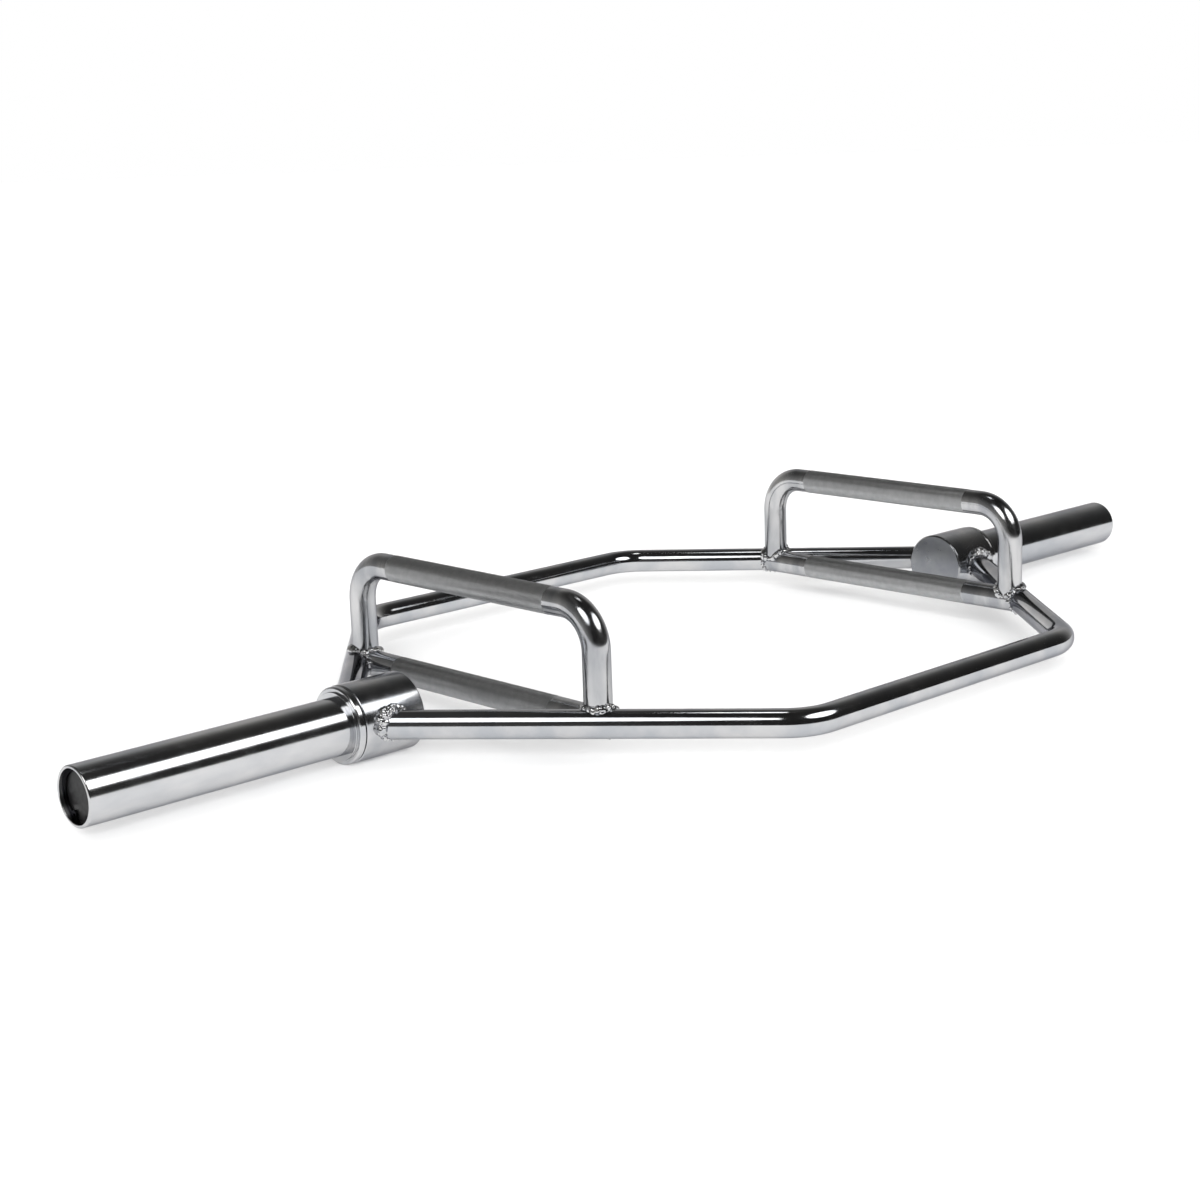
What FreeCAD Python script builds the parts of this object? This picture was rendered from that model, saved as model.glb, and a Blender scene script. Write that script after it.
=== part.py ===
import FreeCAD, Part
import math
import os
import Sketcher

from FreeCAD import Vector

# A hex trap bar: a welded six-sided frame of bent round bar with low and raised handles,
# and a turning sleeve for weight plates at each end.
# The long axis is X, the sides of the hexagon lie at +Y and -Y, and Z is up from the floor.
# Each piece is drawn once, on the right (+X) or at the rear (+Y), and mirrored to the other side.

DOC = FreeCAD.newDocument("hex_trap_bar")

# Driving dimensions in millimetres; places along the bar are measured from its middle,
# and setbacks from the apex of the legs
SIZES = {
    # Bent bars of the hexagon: the corner is where the side's and the leg's axes cross,
    # the apex is where the axes of the two legs would meet on the long axis
    "hex_bar_diameter": "25",
    "hex_half_width": "300",
    "hex_corner": "183",
    "hex_apex": "438",
    "hex_bend_radius": "52",
    "hex_bar_seat": "14",
    # Handles
    "grip_diameter": "24.6",
    "knurl_diameter": "25",
    "knurl_length": "214",
    "handle_setback": "147",
    "raised_grip_rise": "96",
    "raised_bend_radius": "36",
    "raised_leg_inset": "13.5",
    "raised_leg_foot": "4",
    # Weld beads: how far they reach along and how high they stand
    "weld_reach": "3.6",
    "weld_throat": "3",
    # Hub
    "hub_diameter": "68",
    "hub_setback": "63",
    "hub_length": "62",
    "hub_inner_chamfer": "1.5",
    "hub_outer_chamfer": "0.8",
    # Spindle fixed in the hub, and what keeps the sleeve on it
    "spindle_diameter": "28",
    "spindle_seat": "46",
    "spindle_tip_gap": "5",
    "spindle_tip_chamfer": "1",
    "spindle_land": "3",
    "spindle_groove_diameter": "26",
    "spindle_ring_thickness": "1.5",
    "spindle_ring_diameter": "33",
    "spindle_ring_gap": "9",
    "spindle_ear_diameter": "5",
    "spindle_ear_hole_diameter": "2",
    "retaining_washer_thickness": "2.5",
    "retaining_washer_diameter": "38",
    "thrust_washer_thickness": "2",
    "thrust_washer_diameter": "46",
    "thrust_seat_depth": "1.7",
    "washer_clearance": "0.2",
    "running_gap": "0.3",
    # Sleeve
    "half_length": "692",
    "sleeve_diameter": "50",
    "sleeve_bore_diameter": "36",
    "sleeve_tip_chamfer": "1",
    "bush_diameter": "40",
    "bush_length": "40",
    "bush_setback": "2",
    "bush_clearance": "0.05",
    "collar_diameter": "67",
    "collar_seat_diameter": "49",
    "collar_thickness": "6",
    "collar_chamfer": "1.2",
    "collar_step_diameter": "59",
    "collar_step_height": "2",
    # Cap in the sleeve's mouth and the snap ring in front of it
    "mouth_diameter": "44.4",
    "cap_ring_depth": "4.5",
    "cap_ring_thickness": "1.75",
    "cap_thickness": "3",
    "cap_clearance": "0.1",
    "cap_edge_chamfer": "0.5",
    "cap_groove_diameter": "47",
    "cap_ring_bore_diameter": "39.6",
    "cap_ring_gap": "12",
    "cap_ear_diameter": "7",
    "cap_ear_hole_diameter": "2.6",
}

# Places worked out from the driving dimensions
PLACES = {
    "axis_height": "=hub_radius",
    # Bent bar, from the middle of its straight side to its seat in the hub
    "hex_slope": "=atan2(Sizes.hex_half_width; Sizes.hex_apex - Sizes.hex_corner)",
    "hex_tangent": "=Sizes.hex_bend_radius * tan(hex_slope / 2)",
    "hex_bend_start": "=Sizes.hex_corner - hex_tangent",
    "hex_bend_end": "=Sizes.hex_corner + hex_tangent * cos(hex_slope)",
    "hex_bend_end_side": "=Sizes.hex_half_width - hex_tangent * sin(hex_slope)",
    "hex_bend_centre_side": "=Sizes.hex_half_width - Sizes.hex_bend_radius",
    "hex_end_side": "=hub_radius - Sizes.hex_bar_seat",
    "hex_end": "=Sizes.hex_apex - hex_end_side / tan(hex_slope)",
    "hex_weld_reach_radius": "=hex_bar_radius + Sizes.weld_reach",
    "hex_weld_radius": "=hex_bar_radius + Sizes.weld_throat",
    "hub_weld_radius": "=hub_radius + Sizes.weld_throat",
    # Handles, from their middle to the slanting leg that carries them
    "handle_plane": "=Sizes.hex_apex - Sizes.handle_setback",
    "low_handle_reach": "=Sizes.handle_setback * tan(hex_slope)",
    "low_handle_length": "=2 * low_handle_reach",
    "raised_leg_side": "=low_handle_reach - Sizes.raised_leg_inset",
    "raised_bend_side": "=raised_leg_side - Sizes.raised_bend_radius",
    "raised_bend_height": "=Sizes.raised_grip_rise - Sizes.raised_bend_radius",
    "grip_weld_reach_radius": "=grip_radius + Sizes.weld_reach",
    "grip_weld_radius": "=grip_radius + Sizes.weld_throat",
    # Hub
    "hub_inner_face": "=Sizes.hex_apex - Sizes.hub_setback",
    "hub_face": "=hub_inner_face + Sizes.hub_length",
    "hub_inner_edge": "=hub_inner_face + Sizes.hub_inner_chamfer",
    "hub_inner_edge_radius": "=hub_radius - Sizes.hub_inner_chamfer",
    "hub_outer_edge": "=hub_face - Sizes.hub_outer_chamfer",
    "hub_outer_edge_radius": "=hub_radius - Sizes.hub_outer_chamfer",
    "hub_line_length": "=2 * Sizes.half_length",
    "spindle_root": "=hub_face - Sizes.spindle_seat",
    "thrust_seat": "=hub_face - Sizes.thrust_seat_depth",
    "thrust_face": "=thrust_seat + Sizes.thrust_washer_thickness",
    "washer_bore_radius": "=spindle_radius + Sizes.washer_clearance",
    # Sleeve and collar
    "sleeve_root": "=thrust_face + Sizes.running_gap",
    "sleeve_tip_edge": "=Sizes.half_length - Sizes.sleeve_tip_chamfer",
    "sleeve_tip_edge_radius": "=sleeve_radius - Sizes.sleeve_tip_chamfer",
    "collar_face": "=sleeve_root + Sizes.collar_thickness",
    "collar_edge": "=collar_face - Sizes.collar_chamfer",
    "collar_edge_radius": "=collar_radius - Sizes.collar_chamfer",
    "collar_step_face": "=collar_face + Sizes.collar_step_height",
    # Cap and snap ring, from the mouth of the sleeve inwards
    "cap_ring_face": "=Sizes.half_length - Sizes.cap_ring_depth",
    "cap_ring_back": "=cap_ring_face - Sizes.cap_ring_thickness",
    "cap_seat": "=cap_ring_back - Sizes.cap_thickness",
    "cap_edge": "=cap_ring_back - Sizes.cap_edge_chamfer",
    "cap_radius": "=mouth_radius - Sizes.cap_clearance",
    "cap_edge_radius": "=cap_radius - Sizes.cap_edge_chamfer",
    "cap_ear_side": "=Sizes.cap_ring_gap / 2 + cap_ear_radius",
    "cap_ear_drop": "=sqrt(cap_ring_bore_radius ^ 2 - cap_ear_side ^ 2)",
    # Spindle's tip, its snap ring and washer, and the bushes that run on it
    "spindle_tip": "=cap_seat - Sizes.spindle_tip_gap",
    "spindle_tip_edge": "=spindle_tip - Sizes.spindle_tip_chamfer",
    "spindle_tip_edge_radius": "=spindle_radius - Sizes.spindle_tip_chamfer",
    "spindle_ring_face": "=spindle_tip - Sizes.spindle_land",
    "spindle_ring_back": "=spindle_ring_face - Sizes.spindle_ring_thickness",
    "spindle_ear_side": "=Sizes.spindle_ring_gap / 2 + spindle_ear_radius",
    "spindle_ear_drop": "=sqrt(spindle_ring_radius ^ 2 - spindle_ear_side ^ 2)",
    "retaining_back": "=spindle_ring_back - Sizes.retaining_washer_thickness",
    "outer_bush_face": "=retaining_back - Sizes.running_gap",
    "outer_bush_back": "=outer_bush_face - Sizes.bush_length",
    "inner_bush_back": "=sleeve_root + Sizes.bush_setback",
    "inner_bush_face": "=inner_bush_back + Sizes.bush_length",
    "bush_bore_radius": "=spindle_radius + Sizes.bush_clearance",
}

ON_AXIS = "on the axis"
FULL_TURN = 360
ALONG = Vector(1, 0, 0)
ACROSS = Vector(0, 1, 0)
UPWARD = Vector(0, 0, 1)

# A sketch counts the points of a line or an arc up from one, and its own axes down from minus one
START, END, CENTRE = range(1, 4)
LEVEL_AXIS, UPRIGHT_AXIS = range(-1, -3, -1)
ORIGIN = (LEVEL_AXIS, START)


def write_sheet(name, cells):
    """A spreadsheet with one row for each alias."""
    sheet = DOC.addObject("Spreadsheet::Sheet", name)
    for row, (alias, content) in enumerate(cells.items(), start=1):
        sheet.set(f"A{row}", alias)
        sheet.set(f"B{row}", content)
        sheet.setAlias(f"B{row}", alias)
    DOC.recompute()
    return sheet


def radii(sizes):
    """A radius for every driving diameter."""
    ending = "_diameter"
    names = [alias for alias in sizes if alias.endswith(ending)]
    return {name.replace(ending, "_radius"): f"=Sizes.{name} / 2" for name in names}


SHEETS = {"Sizes": write_sheet("Sizes", SIZES)}
SHEETS["Places"] = write_sheet("Places", radii(SIZES) | PLACES)


def value(cell):
    """The number in a cell written as Sheet.alias."""
    sheet, alias = cell.split(".")
    return float(SHEETS[sheet].get(alias))


def place(cell):
    """Where a cell puts a point, with nothing to measure on an axis."""
    return 0 if cell == ON_AXIS else value(cell)


def new_body(name):
    """A body whose origin lies on the long axis, above the middle of the floor it rests on."""
    body = DOC.addObject("PartDesign::Body", name)
    body.setExpression("Placement.Base.z", "Places.axis_height")
    return body


def plane(body, role):
    """One of the body's own three planes."""
    return next(feature for feature in body.Origin.OriginFeatures if feature.Role == role)


def new_sketch(body, name, role, offset=None):
    """A sketch on one of the body's own planes, moved along the plane's normal by a cell."""
    sketch = body.newObject("Sketcher::SketchObject", name)
    sketch.AttachmentSupport = [(plane(body, role), "")]
    sketch.MapMode = "FlatFace"
    if offset:
        sketch.setExpression("AttachmentOffset.Base.z", offset)
    return sketch


def hold(sketch, geometry, end, across, up):
    """Ties one point of a sketch to its two cells."""
    for kind, cell, axis in (("DistanceX", across, UPRIGHT_AXIS), ("DistanceY", up, LEVEL_AXIS)):
        if cell == ON_AXIS:
            sketch.addConstraint(Sketcher.Constraint("PointOnObject", geometry, end, axis))
        else:
            tie_size(sketch, cell, kind, *ORIGIN, geometry, end)


def tie_size(sketch, cell, kind, *points):
    """Adds a dimension to a sketch and binds it to a cell."""
    index = sketch.addConstraint(Sketcher.Constraint(kind, *points, value(cell)))
    sketch.setExpression(f"Constraints[{index}]", cell)


def draw_circle(sketch, radius, across, up):
    centre = Vector(place(across), place(up), 0)
    circle = sketch.addGeometry(Part.Circle(centre, UPWARD, value(radius)), False)
    tie_size(sketch, radius, "Radius", circle)
    hold(sketch, circle, CENTRE, across, up)


def turned(name, outline):
    """A piece turned about the long axis; its outline is pairs of a place and a radius."""
    body = new_body(name)
    sketch = new_sketch(body, f"{name}_outline", "XY_Plane")
    corners = [Vector(place(along), place(radius), 0) for along, radius in outline]
    count = len(corners)
    for i, corner in enumerate(corners):
        sketch.addGeometry(Part.LineSegment(corner, corners[(i + 1) % count]), False)
    for i, (along, radius) in enumerate(outline):
        sketch.addConstraint(Sketcher.Constraint("Coincident", i, END, (i + 1) % count, START))
        hold(sketch, i, START, along, radius)
    turn = body.newObject("PartDesign::Revolution", f"{name}_turn")
    turn.Profile = sketch
    turn.ReferenceAxis = (sketch, ["H_Axis"])
    turn.Angle = FULL_TURN
    return body


def ring_outline(back, face, bore, rim):
    return [(back, bore), (back, rim), (face, rim), (face, bore)]


def bent_path(sketch, points, centre):
    """A straight run, an arc and a straight run; the arc turns clockwise about its centre."""
    start, bend_start, bend_end, end = points
    corners = [Vector(place(across), place(up), 0) for across, up in points]
    middle = Vector(place(centre[0]), place(centre[1]), 0)
    arms = [corners[1] - middle, corners[2] - middle]
    angles = [math.atan2(arm.y, arm.x) for arm in arms]
    circle = Part.Circle(middle, UPWARD, arms[0].Length)
    first = sketch.addGeometry(Part.LineSegment(corners[0], corners[1]), False)
    bend = sketch.addGeometry(Part.ArcOfCircle(circle, angles[1], angles[0]), False)
    last = sketch.addGeometry(Part.LineSegment(corners[2], corners[3]), False)
    hold(sketch, first, START, *start)
    hold(sketch, first, END, *bend_start)
    hold(sketch, last, START, *bend_end)
    hold(sketch, last, END, *end)
    sketch.addConstraint(Sketcher.Constraint("Coincident", bend, END, first, END))
    sketch.addConstraint(Sketcher.Constraint("Coincident", bend, START, last, START))
    tie_size(sketch, centre[1], "DistanceY", *ORIGIN, bend, CENTRE)


def bent_rod(body, name, path, section, mirror_role):
    """Round bar along half its path, then mirrored to make the whole."""
    pipe = body.newObject("PartDesign::AdditivePipe", f"{name}_pipe")
    pipe.Profile = section
    pipe.Spine = (path, ["Edge1", "Edge2", "Edge3"])
    whole = body.newObject("PartDesign::Mirrored", f"{name}_whole")
    whole.Originals = [pipe]
    whole.MirrorPlane = (plane(body, mirror_role), [""])
    body.Tip = whole
    return body


def hex_rod(name, radius):
    """The rear bar of the hexagon at a given radius, its ends still inside the hubs."""
    body = new_body(name)
    path = new_sketch(body, f"{name}_path", "XY_Plane")
    bent_path(
        path,
        [
            (ON_AXIS, "Sizes.hex_half_width"),
            ("Places.hex_bend_start", "Sizes.hex_half_width"),
            ("Places.hex_bend_end", "Places.hex_bend_end_side"),
            ("Places.hex_end", "Places.hex_end_side"),
        ],
        ("Places.hex_bend_start", "Places.hex_bend_centre_side"),
    )
    section = new_sketch(body, f"{name}_section", "YZ_Plane")
    draw_circle(section, radius, "Sizes.hex_half_width", ON_AXIS)
    return bent_rod(body, name, path, section, "YZ_Plane")


def add_band(body, name, radius, length, up):
    """A straight round length across the middle of a handle."""
    section = new_sketch(body, f"{name}_section", "XZ_Plane")
    draw_circle(section, radius, "Places.handle_plane", up)
    pad = body.newObject("PartDesign::Pad", f"{name}_pad")
    pad.Profile = section
    pad.SideType = "Symmetric"
    pad.setExpression("Length", length)
    body.Tip = pad


def low_rod(name, radius):
    """The straight handle at a given radius, as long as the axes of the legs are apart."""
    body = new_body(name)
    add_band(body, name, radius, "Places.low_handle_length", ON_AXIS)
    return body


def raised_rod(name, radius):
    """The U-shaped handle at a given radius, its legs ending above the plane of the hexagon."""
    body = new_body(name)
    path = new_sketch(body, f"{name}_path", "YZ_Plane", "Places.handle_plane")
    bent_path(
        path,
        [
            (ON_AXIS, "Sizes.raised_grip_rise"),
            ("Places.raised_bend_side", "Sizes.raised_grip_rise"),
            ("Places.raised_leg_side", "Places.raised_bend_height"),
            ("Places.raised_leg_side", "Sizes.raised_leg_foot"),
        ],
        ("Places.raised_bend_side", "Places.raised_bend_height"),
    )
    section = new_sketch(body, f"{name}_section", "XZ_Plane")
    draw_circle(section, radius, "Places.handle_plane", "Sizes.raised_grip_rise")
    return bent_rod(body, name, path, section, "XZ_Plane")


def disc(name, radius, start, length, across="0", up="0"):
    """A round solid along X."""
    solid = DOC.addObject("Part::Cylinder", name)
    solid.setExpression("Radius", radius)
    solid.setExpression("Height", length)
    centre = f"vector({start}; {across}; Places.axis_height + {up})"
    solid.setExpression("Placement", f"placement({centre}; rotationy(90))")
    return solid


def cut(name, base, tool):
    result = DOC.addObject("Part::Cut", name)
    result.Base = base
    result.Tool = tool
    return result


def common(name, base, tool):
    result = DOC.addObject("Part::Common", name)
    result.Base = base
    result.Tool = tool
    return result


def fuse(name, *pieces):
    result = DOC.addObject("Part::MultiFuse", name)
    result.Shapes = list(pieces)
    return result


def mirrored(name, source, normal):
    result = DOC.addObject("Part::Mirroring", name)
    result.Source = source
    result.Normal = normal
    return result


def snap_ring(name, stem, start, thickness, rim, bore):
    """A flat ring, open at the bottom, with a holed ear at each of its ends."""
    ring = cut(f"{name}_round", disc(f"{name}_rim", rim, start, thickness),
               disc(f"{name}_bore", bore, start, thickness))
    opening = DOC.addObject("Part::Box", f"{name}_opening")
    opening.setExpression("Length", thickness)
    opening.setExpression("Width", f"Sizes.{stem}_ring_gap")
    opening.setExpression("Height", rim)
    corner = f"vector({start}; -Sizes.{stem}_ring_gap / 2; Places.axis_height - {rim})"
    opening.setExpression("Placement", f"placement({corner}; rotationy(0))")
    ears = []
    holes = []
    for side, sign in (("front", "-"), ("rear", "")):
        spot = (f"{sign}Places.{stem}_ear_side", f"-Places.{stem}_ear_drop")
        ears.append(disc(f"{name}_{side}_ear", f"Places.{stem}_ear_radius", start, thickness, *spot))
        holes.append(disc(f"{name}_{side}_hole", f"Places.{stem}_ear_hole_radius", start, thickness, *spot))
    eared = fuse(f"{name}_eared", cut(f"{name}_open", ring, opening), *ears)
    return cut(name, eared, fuse(f"{name}_holes", *holes))


def turned_pieces():
    """The right-hand hub, spindle and sleeve with what lies on and in them."""
    axis = ON_AXIS
    return {
        "hub": turned("hub", [
            ("Places.hub_inner_face", axis),
            ("Places.hub_inner_face", "Places.hub_inner_edge_radius"),
            ("Places.hub_inner_edge", "Places.hub_radius"),
            ("Places.hub_outer_edge", "Places.hub_radius"),
            ("Places.hub_face", "Places.hub_outer_edge_radius"),
            ("Places.hub_face", "Places.thrust_washer_radius"),
            ("Places.thrust_seat", "Places.thrust_washer_radius"),
            ("Places.thrust_seat", "Places.spindle_radius"),
            ("Places.spindle_root", "Places.spindle_radius"),
            ("Places.spindle_root", axis),
        ]),
        "spindle": turned("spindle", [
            ("Places.spindle_root", axis),
            ("Places.spindle_root", "Places.spindle_radius"),
            ("Places.spindle_ring_back", "Places.spindle_radius"),
            ("Places.spindle_ring_back", "Places.spindle_groove_radius"),
            ("Places.spindle_ring_face", "Places.spindle_groove_radius"),
            ("Places.spindle_ring_face", "Places.spindle_radius"),
            ("Places.spindle_tip_edge", "Places.spindle_radius"),
            ("Places.spindle_tip", "Places.spindle_tip_edge_radius"),
            ("Places.spindle_tip", axis),
        ]),
        "thrust_washer": turned("thrust_washer", ring_outline(
            "Places.thrust_seat", "Places.thrust_face",
            "Places.washer_bore_radius", "Places.thrust_washer_radius")),
        "retaining_washer": turned("retaining_washer", ring_outline(
            "Places.retaining_back", "Places.spindle_ring_back",
            "Places.washer_bore_radius", "Places.retaining_washer_radius")),
        "sleeve": turned("sleeve", [
            ("Places.sleeve_root", "Places.bush_radius"),
            ("Places.sleeve_root", "Places.collar_seat_radius"),
            ("Places.collar_step_face", "Places.collar_seat_radius"),
            ("Places.collar_step_face", "Places.sleeve_radius"),
            ("Places.sleeve_tip_edge", "Places.sleeve_radius"),
            ("Sizes.half_length", "Places.sleeve_tip_edge_radius"),
            ("Sizes.half_length", "Places.mouth_radius"),
            ("Places.cap_ring_face", "Places.mouth_radius"),
            ("Places.cap_ring_face", "Places.cap_groove_radius"),
            ("Places.cap_ring_back", "Places.cap_groove_radius"),
            ("Places.cap_ring_back", "Places.mouth_radius"),
            ("Places.cap_seat", "Places.mouth_radius"),
            ("Places.cap_seat", "Places.bush_radius"),
            ("Places.outer_bush_back", "Places.bush_radius"),
            ("Places.outer_bush_back", "Places.sleeve_bore_radius"),
            ("Places.inner_bush_face", "Places.sleeve_bore_radius"),
            ("Places.inner_bush_face", "Places.bush_radius"),
        ]),
        "stop_collar": turned("stop_collar", [
            ("Places.sleeve_root", "Places.collar_seat_radius"),
            ("Places.sleeve_root", "Places.collar_radius"),
            ("Places.collar_edge", "Places.collar_radius"),
            ("Places.collar_face", "Places.collar_edge_radius"),
            ("Places.collar_face", "Places.collar_step_radius"),
            ("Places.collar_step_face", "Places.collar_step_radius"),
            ("Places.collar_step_face", "Places.collar_seat_radius"),
        ]),
        "inner_bush": turned("inner_bush", ring_outline(
            "Places.inner_bush_back", "Places.inner_bush_face",
            "Places.bush_bore_radius", "Places.bush_radius")),
        "outer_bush": turned("outer_bush", ring_outline(
            "Places.outer_bush_back", "Places.outer_bush_face",
            "Places.bush_bore_radius", "Places.bush_radius")),
        "end_cap": turned("end_cap", [
            ("Places.cap_seat", axis),
            ("Places.cap_seat", "Places.cap_radius"),
            ("Places.cap_edge", "Places.cap_radius"),
            ("Places.cap_ring_back", "Places.cap_edge_radius"),
            ("Places.cap_ring_back", axis),
        ]),
    }


def frame_pieces():
    """The bars, handles and weld beads, the beads grouped by the joint they close."""
    rear_rod = hex_rod("rear_hex_rod", "Places.hex_bar_radius")
    rods = fuse("hex_rods", rear_rod, mirrored("front_hex_rod", rear_rod, ACROSS))
    rear_swell = hex_rod("rear_hex_swell", "Places.hex_weld_radius")
    swells = fuse("hex_swells", rear_swell, mirrored("front_hex_swell", rear_swell, ACROSS))
    rear_reach = hex_rod("rear_hex_reach", "Places.hex_weld_reach_radius")
    reaches = fuse("hex_reaches", rear_reach, mirrored("front_hex_reach", rear_reach, ACROSS))

    # Round solids on the line of the hubs, which shape the ends of the bars and of their beads
    hub_line = disc("hub_line", "Places.hub_radius", "-Sizes.half_length", "Places.hub_line_length")
    hub_swell = disc("hub_swell", "Places.hub_weld_radius", "Places.hub_inner_face", "Sizes.hub_length")
    rear_bar = cut("rear_hex_bar", rear_rod, hub_line)

    low_bar = low_rod("low_bar", "Places.grip_radius")
    low_swell = low_rod("low_swell", "Places.grip_weld_radius")
    low_reach = low_rod("low_reach", "Places.grip_weld_reach_radius")
    raised_bar = raised_rod("raised_bar", "Places.grip_radius")
    raised_reach = raised_rod("raised_reach", "Places.grip_weld_reach_radius")
    bare = fuse("bare_bars", rods, low_bar, raised_bar)

    # One bead closes each corner where a leg of the raised handle, the low handle and the bar meet
    raised_bead = common("raised_bead", raised_reach, fuse("raised_seats", swells, low_swell))
    low_bead = common("low_bead", low_reach, swells)
    handle_weld = cut("handle_weld", fuse("handle_beads", raised_bead, low_bead), bare)
    hub_bead = cut("hub_bead", common("hub_ring", reaches, hub_swell), rods)
    hub_weld = cut("hub_weld", hub_bead, hub_line)

    low_grip = low_rod("low_grip", "Places.grip_radius")
    add_band(low_grip, "low_knurl", "Places.knurl_radius", "Sizes.knurl_length", ON_AXIS)
    raised_grip = raised_rod("raised_grip", "Places.grip_radius")
    add_band(raised_grip, "raised_knurl", "Places.knurl_radius", "Sizes.knurl_length",
             "Sizes.raised_grip_rise")
    raised_seat = fuse("raised_seat", rods, low_bar)
    return {
        "rear_hex_bar": rear_bar,
        "front_hex_bar": mirrored("front_hex_bar", rear_bar, ACROSS),
        "low_handle": cut("low_handle", low_grip, rods),
        "raised_handle": cut("raised_handle", raised_grip, raised_seat),
        "hub_welds": hub_weld,
        "handle_welds": handle_weld,
    }


def both_sides(name, right):
    """The right-hand piece and its mirror image on the left, each a node."""
    return {f"right_{name}": right, f"left_{name}": mirrored(f"left_{name}", right, ALONG)}


def grouped(name, right):
    """The right-hand piece and its mirror image as one node."""
    group = DOC.addObject("Part::Compound", name)
    group.Links = [right, mirrored(f"left_{name}", right, ALONG)]
    return {name: group}


NODES = {}
for piece_name, piece in turned_pieces().items():
    NODES |= both_sides(piece_name, piece)
NODES |= both_sides("spindle_ring", snap_ring(
    "spindle_ring", "spindle", "Places.spindle_ring_back", "Sizes.spindle_ring_thickness",
    "Places.spindle_ring_radius", "Places.spindle_groove_radius"))
NODES |= both_sides("cap_ring", snap_ring(
    "cap_ring", "cap", "Places.cap_ring_back", "Sizes.cap_ring_thickness",
    "Places.cap_groove_radius", "Places.cap_ring_bore_radius"))
for piece_name, piece in frame_pieces().items():
    if piece_name.endswith("_welds"):
        NODES |= grouped(piece_name, piece)
    elif piece_name.endswith("_handle"):
        NODES |= both_sides(piece_name, piece)
    else:
        NODES[piece_name] = piece

for node_name, node in NODES.items():
    node.Label = node_name
DOC.recompute()

failed = [item.Name for item in DOC.Objects if {"Invalid", "Error"} & set(item.State)]
empty = [name for name, node in NODES.items() if node.Shape.isNull() or not node.Shape.isValid()]
if failed or empty:
    raise RuntimeError(f"failed objects: {failed}; empty or invalid pieces: {empty}")

os.makedirs("parts", exist_ok=True)
for node_name, node in NODES.items():
    node.Shape.exportStep(os.path.join("parts", f"{node_name}.step"))
    print(node_name, len(node.Shape.Solids), "solids", round(node.Shape.Volume), "cubic mm")
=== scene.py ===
import math

import bmesh
import bpy
from mathutils import Matrix, Vector
from mathutils.noise import noise as lump


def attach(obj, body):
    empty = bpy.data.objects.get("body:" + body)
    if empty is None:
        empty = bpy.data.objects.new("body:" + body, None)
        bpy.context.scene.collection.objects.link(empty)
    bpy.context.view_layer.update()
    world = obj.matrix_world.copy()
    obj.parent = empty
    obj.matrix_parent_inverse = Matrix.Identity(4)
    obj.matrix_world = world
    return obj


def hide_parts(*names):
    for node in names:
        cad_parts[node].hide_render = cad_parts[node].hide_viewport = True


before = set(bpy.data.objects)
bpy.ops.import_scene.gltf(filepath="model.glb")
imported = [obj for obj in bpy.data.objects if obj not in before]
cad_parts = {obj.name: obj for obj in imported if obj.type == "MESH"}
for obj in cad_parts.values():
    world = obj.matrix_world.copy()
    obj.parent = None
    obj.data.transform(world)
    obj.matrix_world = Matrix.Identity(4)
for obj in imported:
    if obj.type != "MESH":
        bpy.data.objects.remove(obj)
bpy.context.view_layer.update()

# A chromed hex trap bar: a welded six-sided frame of bent round bar, low and raised knurled handles,
# and a turning sleeve at each end. Metres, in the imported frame: X along the bar, Z up from the floor.
scene = bpy.context.scene
MM = 0.001

# Sizes of the frame's bars
AXIS_HEIGHT = 34 * MM
BAR_RADIUS = 12.5 * MM
HEX_HALF_WIDTH = 300 * MM
HEX_CORNER = 183 * MM
HEX_APEX = 438 * MM
HEX_BEND = 52 * MM
BAR_SEAT = 14 * MM
# Sizes of the handles
HANDLE_PLANE = 291 * MM
HANDLE_RADIUS = 12.3 * MM
RAISED_RISE = 96 * MM
RAISED_BEND = 36 * MM
RAISED_LEG_INSET = 13.5 * MM
RAISED_LEG_FOOT = 4 * MM
KNURL_LENGTH = 214 * MM
KNURL_CREST = 12.5 * MM
KNURL_ROOT = 12.3 * MM
KNURL_ROUND, KNURL_ALONG = 104, 286
# Sizes of the hub and of the turning sleeve
HUB_RADIUS = 34 * MM
HUB_INNER, HUB_OUTER = 375 * MM, 437 * MM
HUB_INNER_CHAMFER, HUB_OUTER_CHAMFER = 1.5 * MM, 0.8 * MM
WASHER_SEAT_RADIUS, WASHER_SEAT_DEPTH = 23.2 * MM, 1.7 * MM
COLLAR_RADIUS = 33.5 * MM
COLLAR_INNER, COLLAR_OUTER = 437.6 * MM, 443.6 * MM
COLLAR_INNER_CHAMFER, COLLAR_OUTER_CHAMFER = 0.8 * MM, 1.2 * MM
STEP_RADIUS, STEP_OUTER = 29.5 * MM, 445.6 * MM
SLEEVE_RADIUS = 25 * MM
SLEEVE_SEAT_RADIUS = 24.5 * MM
SLEEVE_TIP = 692 * MM
MOUTH_RADIUS = 22.2 * MM
MOUTH_CHAMFER = 0.4 * MM
LIP_ROUND, LIP_STEPS = 1.5 * MM, 6
CAP_BACK, CAP_FRONT = 682.75 * MM, 685.75 * MM
CAP_RADIUS = 22.1 * MM
CAP_CHAMFER = 0.5 * MM
GROOVE_RADIUS, GROOVE_FRONT = 23.5 * MM, 687.5 * MM
BUSH_RADIUS = 20 * MM
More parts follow.
